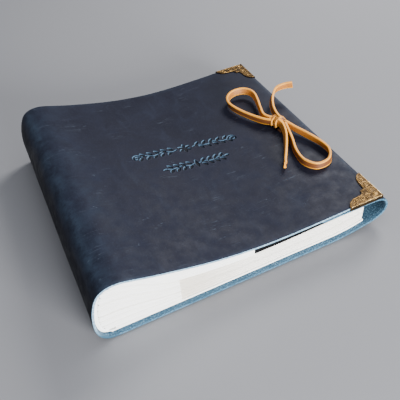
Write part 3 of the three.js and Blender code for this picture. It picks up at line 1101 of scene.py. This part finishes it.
def strap(name, route, step=1.2, upright=None, lean=None, slack=0.0, squeeze=1.0, rough=1):
    """A flat lace along a route. Its width stands up, or lies along a given direction.

    The lean turns it about its own line, and the slack makes that waver.
    """
    stops = [Vector((SPINE_X + x * MM, y * MM, z * MM)) for x, y, z in route]
    line = evenly(through(stops, 10), step * MM)
    section = strap_section(squeeze)
    phase = chance.uniform(0, 6)
    rings, uvs, gone = [], [], 0.0
    for i, point in enumerate(line):
        along = (line[min(i + 1, len(line) - 1)] - line[max(i - 1, 0)]).normalized()
        gone += (point - line[i - 1]).length if i else 0
        up = Vector(upright or UP)
        side = up.cross(along).normalized()
        up = along.cross(side).normalized()
        share = i / (len(line) - 1)
        tilt = (lean(share) if lean else 0) + slack * math.sin(gone / 0.014 + phase)
        across = side * math.cos(tilt) + up * math.sin(tilt)
        height = up * math.cos(tilt) - side * math.sin(tilt)
        swell = 1 + 0.03 * math.sin(gone / 0.006 + phase)
        rings.append([point + across * a + height * (b * swell) for a, b in section])
        uvs.append(gone)
    return tube_of(name, rings, uvs, section, rough), line


def tube_of(name, rings, uvs, section, rough):
    """A closed strap through rings of points, with its flat size as its UV map."""
    count = len(section)
    points = [p for ring in rings for p in ring]
    faces = []
    for i in range(len(rings) - 1):
        for j in range(count):
            k = (j + 1) % count
            faces.append((i * count + j, i * count + k, (i + 1) * count + k, (i + 1) * count + j))
    faces.append(tuple(reversed(range(count))))
    faces.append(tuple(range(len(points) - count, len(points))))
    mesh = bpy.data.meshes.new(name)
    mesh.from_pydata(points, [], faces)
    piece = add_object(name, mesh)
    sides = [math.dist(section[j], section[(j + 1) % count]) for j in range(count)]
    around = np.cumsum([0] + sides)
    uv = mesh.uv_layers.new(name="UVMap")
    for face in mesh.polygons:
        for slot, vertex in zip(face.loop_indices, face.vertices):
            ring, j = divmod(vertex, count)
            last_side = any(v % count == count - 1 for v in face.vertices)
            wrapped = len(face.vertices) == 4 and j == 0 and last_side
            uv.data[slot].uv = (uvs[ring], around[count if wrapped else j])
    cut = max(b for _, b in section) - 0.7 * MM
    store(piece, "lace_edge", [float(abs(b) > cut) for _, b in section] * len(rings))
    store(piece, "lace_rough", [float(a * rough > 0) for a, _ in section] * len(rings))
    outward_normals(piece)
    smooth(piece, 50)
    return piece


def make_lace(leather):
    """The bow's loops and tails, its knot and the run inside the cover."""
    for name, (rough, lean, route) in STRANDS.items():
        piece, line = strap(name.replace("lace", "bow"), route, lean=lean, slack=0.05,
                            rough=rough)
        coat(piece, leather)
        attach(piece, "front")
        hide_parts(name)
    parts = [strap(f"knot_{name}", route, 0.8, upright=upright, squeeze=squeeze)[0]
             for name, (route, squeeze, upright) in KNOT_STRANDS.items()]
    knot = join(parts, "bow_knot")
    coat(knot, leather)
    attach(knot, "front")
    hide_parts("lace_knot")
    make_inside_run(leather)


def make_inside_run(leather):
    """The lace on the inside of the cover, and its legs up through the two holes."""
    low, high = corners("lace_inside_run")
    middle = (low + high) / 2
    width, flat = 4.6 * MM, 0.9 * MM
    legs = {"value": (0, 0, high.z - low.z - flat)}
    deselect()
    bpy.ops.mesh.primitive_cube_add(size=1, location=(middle.x, 0, low.z + flat / 2),
                                    scale=(width, high.y - low.y, flat))
    bpy.ops.object.transform_apply(location=True, rotation=True, scale=True)
    piece = bpy.context.object
    piece.name = "lace_inside"
    edit(piece)
    select_all()
    bpy.ops.mesh.subdivide(number_cuts=5)
    pick(piece, "polygons", lambda f: f.normal.z > 0.9 and abs(f.center.y) > HOLE_Y - 3.2 * MM)
    bpy.ops.mesh.extrude_region_move(TRANSFORM_OT_translate=legs)
    done()
    apply_modifier(piece, "BEVEL", width=0.25 * MM, segments=2, limit_method="ANGLE",
                   angle_limit=math.radians(50))
    smooth(piece, 50)
    for name in ("lace_edge", "lace_rough"):
        store(piece, name, [0.0] * len(piece.data.vertices))
    coat(piece, leather)
    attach(piece, "front")
    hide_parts("lace_inside_run")


# --- the brass corners ---
def rod(name, points, radii):
    """A rounded bead of metal along points, with its own thickness at each of them."""
    curve = bpy.data.curves.new(name, "CURVE")
    curve.dimensions = "3D"
    curve.bevel_depth = MM
    curve.bevel_resolution = 2
    curve.use_fill_caps = True
    path = curve.splines.new("POLY")
    path.points.add(len(points) - 1)
    for knot, point, radius in zip(path.points, points, radii):
        knot.co = (*point, 1)
        knot.radius = radius
    activate(add_object(name, curve))
    bpy.ops.object.convert(target="MESH")
    return bpy.context.object


# The inner edge of a plate's leg: millimetres along it and across it.
CORNER_EDGE = [(33.6, 1.1), (33.0, 3.0), (30.6, 5.8), (26.3, 8.0), (21, 8.6), (16.6, 9.0),
               (14.4, 10.2), (13.6, 13.6)]
# Its scrolls: along, across, radius, where each starts in degrees and which way it winds.
CORNER_SCROLLS = ((26.0, 4.7, 2.5, 200, -1), (18.6, 5.3, 2.7, 20, 1), (11.6, 6.6, 2.6, 200, -1))


def corner_strokes():
    """The relief of one leg of a plate, in millimetres: points and a radius for each stroke."""
    edge = [Vector((a, b, 0)) for a, b in CORNER_EDGE]
    strokes = [([(p.x, p.y) for p in through(edge, 6)], 0.42)]
    strokes.append(([(a, 0.8) for a in np.linspace(1.5, 33.6, 40)], 0.38))
    for along, across, radius, start, sense in CORNER_SCROLLS:
        points, _ = curl_stroke(along, across, radius, 1.4, start, sense)
        strokes.append((points, 0.36))
    strokes.append(([(30.6 - u * 3, 2.6 + u * 0.8) for u in np.linspace(0, 1, 8)], 0.5))
    strokes.append(([(a, 2.0 + 0.5 * math.sin(a)) for a in np.linspace(5, 24, 60)], 0.26))
    for along in (22.3, 14.8):
        strokes.append(([(along, 2.6), (along - 0.3, 4.6), (along - 0.1, 7.2)], 0.42))
    return strokes


def corner_rim(tip, side, level):
    """The bright line along the two outer edges of a plate: worn metal, its brightness partly a
    painted highlight.
    """
    in_from_edge, radius = 0.3, 0.32
    run = np.linspace(0.4, 33.8, 24)
    legs = ([(a, in_from_edge) for a in run], [(in_from_edge, a) for a in run])
    return [rod("rim", [(tip.x - a * MM, tip.y + side * b * MM, level) for a, b in leg],
                [radius] * len(leg)) for leg in legs]


def corner_rods(tip, side, level):
    """The relief of a whole plate: both legs and the petals at their corner."""
    rods = []

    def add(points, size, flip):
        """A stroke that is thinner towards both ends. Flipped, it lies on the other leg."""
        count = len(points)
        placed = [(tip.x - (b if flip else a) * MM, tip.y + side * (a if flip else b) * MM, level)
                  for a, b in points]
        swell = [min(1, 4 * i / count, 4 * (count - 1 - i) / count) for i in range(count)]
        rods.append(rod("scroll", placed, [size * (0.55 + 0.45 * share) for share in swell]))

    for flip in (False, True):
        for points, size in corner_strokes():
            add(points, size, flip)
    for turn in (-38, -19, 0, 19, 38):
        angle = math.radians(45 + turn)
        reach = 6.2 - abs(turn) * 0.05
        petal = [(3 + math.cos(angle) * u, 3 + math.sin(angle) * u)
                 for u in np.linspace(0.6, reach, 9)]
        add(petal, 0.62, False)
    return rods


def make_corner_relief(name, node, side, brass, rods_of, level):
    """Raised metal on the plate of a corner."""
    low, high = corners(node)
    tip = Vector((high.x, low.y if side > 0 else high.y, 0))
    relief = join(rods_of(tip, side, high.z + level), name)
    outward_normals(relief)
    smooth(relief, 60)
    coat(relief, brass)
    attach(relief, "front")


def paint_node(name, finish):
    """Gives a part of the frame its finish."""
    for slot in frame["nodes"][name].material_slots:
        slot.material = finish


# --- the whole book ---
def make_book():
    body_of = {name: node["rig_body"] for name, node in frame["nodes"].items()}
    make_lace(lace_leather())
    grain, flesh = grain_side(), flesh_side()
    # The last colour given is the painted shade at the foot of the spine.
    front_edge = cut_edge("hide_edge_front", (0.12, 0.215, 0.3), (0.27, 0.4, 0.51),
                          (0.02, 0.065, 0.105))
    make_cover_hide([grain, flesh, front_edge])
    back_edge = cut_edge("hide_edge_back", (0.016, 0.06, 0.1), (0.075, 0.165, 0.245))
    make_back_hide([grain, flesh, back_edge])
    paper = page_paper("paper_cream", (0.85, 0.83, 0.785), (0.77, 0.745, 0.69),
                       (0.93, 0.93, 0.9))
    white = page_paper("paper_white", (0.94, 0.94, 0.92), (0.89, 0.89, 0.865))
    make_pages(paper, body_of)
    make_guards(white, body_of)
    make_hinge_leaf(white)
    make_cards(white)
    tape = woven_tape()
    for i in (1, 2, 3, 4):
        paint_node(f"sewing_tape_{i}", tape)
    dark = antique_brass("brass_recess", (0.05, 0.029, 0.011), (0.018, 0.011, 0.005), 0.5)
    # Worn edges, given a brighter colour as a painted highlight.
    rim = antique_brass("brass_rim", (0.72, 0.54, 0.28), (0.42, 0.29, 0.13), 0.36)
    bright = antique_brass("brass_raised", (0.29, 0.175, 0.06), (0.12, 0.066, 0.022), 0.4)
    for name, side in (("near", 1), ("far", -1)):
        plate = f"brass_corner_{name}"
        paint_node(plate, dark)
        make_corner_relief(f"corner_relief_{name}", plate, side, bright, corner_rods, -0.02 * MM)
        make_corner_relief(f"corner_rim_{name}", plate, side, rim, corner_rim, -0.3 * MM)


make_camera()
make_studio()
make_book()
